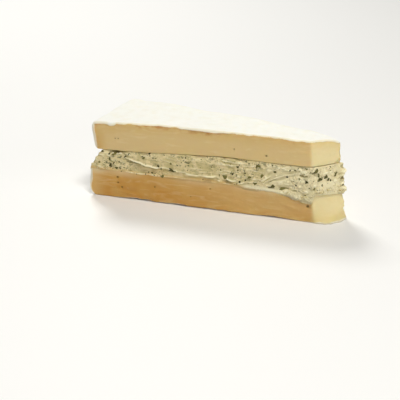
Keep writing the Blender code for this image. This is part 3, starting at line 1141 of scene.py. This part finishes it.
# %% Finishes
class Finish:
    """A material being made: its node tree, and the methods that add to it."""

    def __init__(self, name):
        self.material = bpy.data.materials.new(name)
        self.material.use_nodes = True
        self.tree = self.material.node_tree
        self.tree.nodes.clear()
        self.place = self.node("TexCoord", out="Object")

    def node(self, kind, settings=None, sockets=None, out=0):
        """A node of one kind: its settings first, then a value or a link for each socket."""
        made = self.tree.nodes.new("ShaderNode" + kind)
        for name, value in (settings or {}).items():
            setattr(made, name, value)
        for name, value in (sockets or {}).items():
            if isinstance(value, Wire):
                self.tree.links.new(value.socket, made.inputs[name])
            else:
                made.inputs[name].default_value = value
        return Wire(self, made.outputs[out]) if made.outputs else made

    def maths(self, operation, a, b):
        return self.node("Math", {"operation": operation}, {0: a, 1: b})

    def mark(self, name):
        return self.node("Attribute", {"attribute_name": name}, out="Fac")

    def stretched(self, size):
        """Object coordinates divided by a size in millimetres along each axis."""
        scale = [1 / (s * MM) for s in size]
        return self.node("VectorMath", {"operation": "MULTIPLY"}, {0: self.place, 1: scale})

    def noise(self, size, detail=2.0, warp=0.0):
        """Noise from 0 to 1 whose blobs are about size millimetres, one number or three."""
        sizes = size if hasattr(size, "__len__") else (size, size, size)
        return self.node("TexNoise", sockets={
            "Vector": self.stretched(sizes), "Scale": 1.0, "Detail": detail, "Distortion": warp,
        })

    def dots(self, size):
        """Distance to the nearest of dots scattered about size millimetres apart."""
        place = self.stretched((size,) * 3)
        return self.node("TexVoronoi", sockets={"Vector": place, "Scale": 1.0})

    def mix(self, share, a, b):
        """Colour a where share is 0 and b where it is 1."""
        return self.node("Mix", {"data_type": "RGBA"}, {0: share, 6: a, 7: b}, out=2)

    def relief(self, height, distance, under=None):
        """A Bump node: height from 0 to 1 stands for distance in millimetres."""
        sockets = {"Height": height, "Distance": distance * MM, "Strength": 1.0}
        if under:
            sockets["Normal"] = under
        return self.node("Bump", sockets=sockets)

    def skin(self, colour, roughness, normal, **constants):
        """A Principled shader. Constants are set on its own sockets, with _ for a space."""
        sockets = {name.replace("_", " "): value for name, value in constants.items()}
        return self.node("BsdfPrincipled", sockets={
            "Base Color": colour, "Roughness": roughness, "Normal": normal, **sockets,
        })

    def done(self, shader):
        self.node("OutputMaterial", sockets={"Surface": shader})
        return self.material


def srgb(red, green, blue):
    """A colour given in screen values from 0 to 255, as the linear values that shaders use."""
    screen = np.array([red, green, blue]) / 255
    linear = np.where(screen > 0.04045, ((screen + 0.055) / 1.055) ** 2.4, screen / 12.92)
    return (*linear.tolist(), 1.0)


# %% [markdown]
# ## Paste and rind
# The paste is creamy and a little translucent, more golden near the rind, where it ripens first,
# and shiny where the knife pressed it. The rind is a dry white velvet. As two materials on separate
# faces they would meet in a line of little squares. So both are Principled shaders in one
# material, mixed by the cover mark, with noise to make the edge between them ragged.

# %% Soft cheese
def paste_colour(f, cover):
    """Cream, more golden near the rind, with warm painted shade on the near and far cuts, clouded,
    and browner under the rind.
    """
    cloud = f.noise(9.0, 3.0).rise(0.35, 0.7)
    ripe = cover.rise(-7.0, -0.3)
    colour = f.mix(ripe * 0.35, srgb(234, 218, 167), srgb(218, 188, 104))
    # Warm painted shade on the near and far cuts.
    colour = f.mix(f.mark("painted_shade") * 0.42, colour, srgb(205, 152, 68))
    colour = f.mix(cloud * 0.2, colour, srgb(228, 202, 134))
    smoky = f.noise((14.0, 14.0, 3.0), 3.0, 1.5).rise(0.5, 0.75)
    colour = f.mix(smoky * 0.22, colour, srgb(240, 224, 176))
    colour = f.mix(f.mark("milk") * 0.6, colour, srgb(240, 222, 182))
    under_rind = cover.rise(-2.8, -0.4) * f.noise((4.0, 4.0, 2.0), 3.0).rise(0.35, 0.62)
    colour = f.mix(under_rind * f.mark("brown_under_rind") * 0.75, colour, srgb(200, 146, 80))
    # Dark olive in the pits: the spots' own colour, and painted shade in the dents.
    return f.mix(f.mark("pit").rise(0.15, 0.85) * 0.85, colour, srgb(112, 88, 32)), cloud


def soft_cheese():
    f = Finish("paste_and_rind")
    cover = f.mark("cover") + 0.35 * (f.noise(1.1) - 0.5)
    colour, cloud = paste_colour(f, cover)
    grain = f.relief(0.6 * f.noise(0.9, 4.0) + 0.4 * f.noise((9.0, 9.0, 0.8), 3.0, 1.0), 0.08)
    paste = f.skin(
        colour, 0.42 + 0.2 * cloud, grain, IOR=1.42,
        Subsurface_Weight=0.35, Subsurface_Scale=0.004, Subsurface_Radius=(1.0, 0.55, 0.22),
    )
    bloom = f.noise(5.0, 4.0).rise(0.4, 0.75)
    white = f.mix(bloom * 0.4, srgb(250, 250, 240), srgb(242, 238, 218))
    white = f.mix(cover.rise(1.7, 0.0) * 0.7, white, srgb(240, 226, 186))
    # Brown at the board, partly painted shade under the curled edge, and a cream tint at the rim.
    white = f.mix(f.mark("damp_and_shade"), white, srgb(176, 134, 84))
    fuzz = f.relief(0.6 * f.noise(0.35, 3.0) + 0.4 * f.noise(1.4, 3.0), 0.14)
    velvet = f.skin(
        white, 0.9, fuzz,
        Subsurface_Weight=0.4, Subsurface_Scale=0.003, Subsurface_Radius=(1.0, 0.9, 0.75),
        Sheen_Weight=0.25, Sheen_Roughness=0.5,
    )
    return f.done(f.node("MixShader", sockets={0: cover.rise(-0.10, 0.12), 1: paste, 2: velvet}))


# %% [markdown]
# ## Herbed filling and herbs
# The filling is cream with a grey-green cast from the herbs' juice. It has a painted highlight on
# the ridges and painted shade in the creases. Where the herbs crowd, some lie under the surface
# and show as soft smudges, and others are too small to be chips of their own. The finish paints
# both, because a chip under the surface would never show.

# %% Filling and herbs
def herbed_filling():
    f = Finish("fresh_cheese")
    hollow, drift = f.mark("hollow"), f.mark("drift")
    cloud = f.noise(6.0, 4.0, 0.8)
    colour = f.mix(cloud.rise(0.35, 0.65), srgb(237, 220, 172), srgb(209, 194, 139))
    smudge = f.noise((2.2, 2.2, 1.5), 2.0, 1.2).rise(0.50, 0.66) * (0.06 + 1.1 * drift)
    colour = f.mix(smudge * 0.9, colour, srgb(122, 119, 80))
    colour = f.mix(f.mark("smear") * 0.9, colour, srgb(220, 184, 118))
    colour = f.mix(f.mark("milk") * 0.6, colour, srgb(240, 231, 194))
    # Painted highlight on the ridges, then painted shade in the creases, darkest in the deepest.
    colour = f.mix(hollow.rise(-0.03, -0.26) * 0.85, colour, srgb(254, 246, 210))
    colour = f.mix(hollow.rise(0.06, 0.45) * 0.75, colour, srgb(140, 128, 68))
    colour = f.mix(hollow.rise(0.35, 0.9) * 0.9, colour, srgb(42, 37, 18))
    fine = f.dots(0.9).rise(0.28, 0.14) * f.noise(4.0, 3.0).rise(0.40, 0.60) * (0.1 + drift)
    colour = f.mix(fine * 0.5, colour, srgb(98, 97, 52))
    bump = f.relief(0.6 * f.noise(0.5, 4.0) + 0.4 * f.noise(1.6, 3.0), 0.18)
    return f.done(f.skin(
        colour, 0.5 + 0.2 * cloud, bump, IOR=1.42,
        Subsurface_Weight=0.15, Subsurface_Scale=0.002, Subsurface_Radius=(1.0, 0.8, 0.45),
    ))


def herbs():
    f = Finish("herb_leaf")
    tint = f.mark("tint")
    colour = f.mix(tint.rise(0.1, 0.95), srgb(68, 65, 27), srgb(126, 121, 66))
    colour = f.mix(f.noise(0.5).rise(0.5, 0.7) * 0.5, colour, srgb(44, 41, 18))
    return f.done(f.skin(colour, 0.6, f.relief(f.noise(0.3), 0.05), IOR=1.35))


# %% Finishes on the pieces
cheese, curd, leaf = soft_cheese(), herbed_filling(), herbs()
for piece, finish, slot, node in (
    (upper, cheese, "soft_cheese", "upper_cheese"),
    (lower, cheese, "soft_cheese", "lower_cheese"),
    (filling, curd, "herbed_filling", "herb_filling"),
    (crumb_bits, curd, "herbed_filling", None),
    (flecks, leaf, "herbs", None),
):
    piece.data.materials.append(finish)
    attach(piece, "root")
    if node:
        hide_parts(node)
print("finishes:", [m.name for m in bpy.data.materials if m.users])

# %% [markdown]
# ## Table and light
# A plain pale table and soft light. The key comes from behind on the left, so that the rind glows
# and the near cut lies in half shade. A light almost straight above grazes the near cut and brings
# out its ridges. Two weaker ones, from the front and from the right, lift the near cut and the
# nose. A single large light would be simpler, but it would flatten the relief.

# %% Floor, lights and world
def make_floor():
    bpy.ops.mesh.primitive_plane_add(size=6.0)
    floor = bpy.context.object
    floor.name = "floor"
    f = Finish("pale_table")
    table = f.skin(srgb(248, 248, 247), 0.6, f.relief(f.noise(3.0), 0.01))
    floor.data.materials.append(f.done(table))
    floor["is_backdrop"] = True


def make_light(name, place, size, watts, colour):
    """A square soft light at a place, turned to look at the wedge's middle."""
    data = bpy.data.lights.new(name, "AREA")
    data.shape, data.size, data.energy, data.color = "SQUARE", size, watts, colour
    light = bpy.data.objects.new(name, data)
    bpy.context.scene.collection.objects.link(light)
    light.location = place
    light.rotation_euler = Vector(place).to_track_quat("Z", "Y").to_euler()


def make_world(colour, strength):
    world = bpy.data.worlds.new("studio")
    world.use_nodes = True
    background = world.node_tree.nodes["Background"]
    background.inputs["Color"].default_value = colour
    background.inputs["Strength"].default_value = strength
    bpy.context.scene.world = world


LIGHTS = (    # name, place, size, watts, colour
    ("key", (-0.55, 0.55, 0.75), 0.35, 6.2, (1.0, 0.99, 0.95)),
    ("above", (0.28, -0.30, 0.82), 0.22, 4.6, (1.0, 0.98, 0.94)),
    ("front", (0.75, -0.60, 0.30), 0.4, 1.15, (1.0, 0.97, 0.90)),
    ("nose", (0.9, -0.05, 0.35), 0.4, 0.7, (1.0, 1.0, 0.98)),
)
make_floor()
for light in LIGHTS:
    make_light(*light)
make_world((1.0, 0.99, 0.97, 1.0), 0.12)
bpy.context.scene.view_settings.view_transform = "Standard"

# %% Sizes, and the end
new_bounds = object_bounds()
low_sides = [round((cad - new) / MM, 2) for cad, new in zip(cad_bounds[0], new_bounds[0])]
high_sides = [round((new - cad) / MM, 2) for cad, new in zip(cad_bounds[1], new_bounds[1])]
print("stands out in mm on the low sides:", low_sides, "and on the high ones:", high_sides)
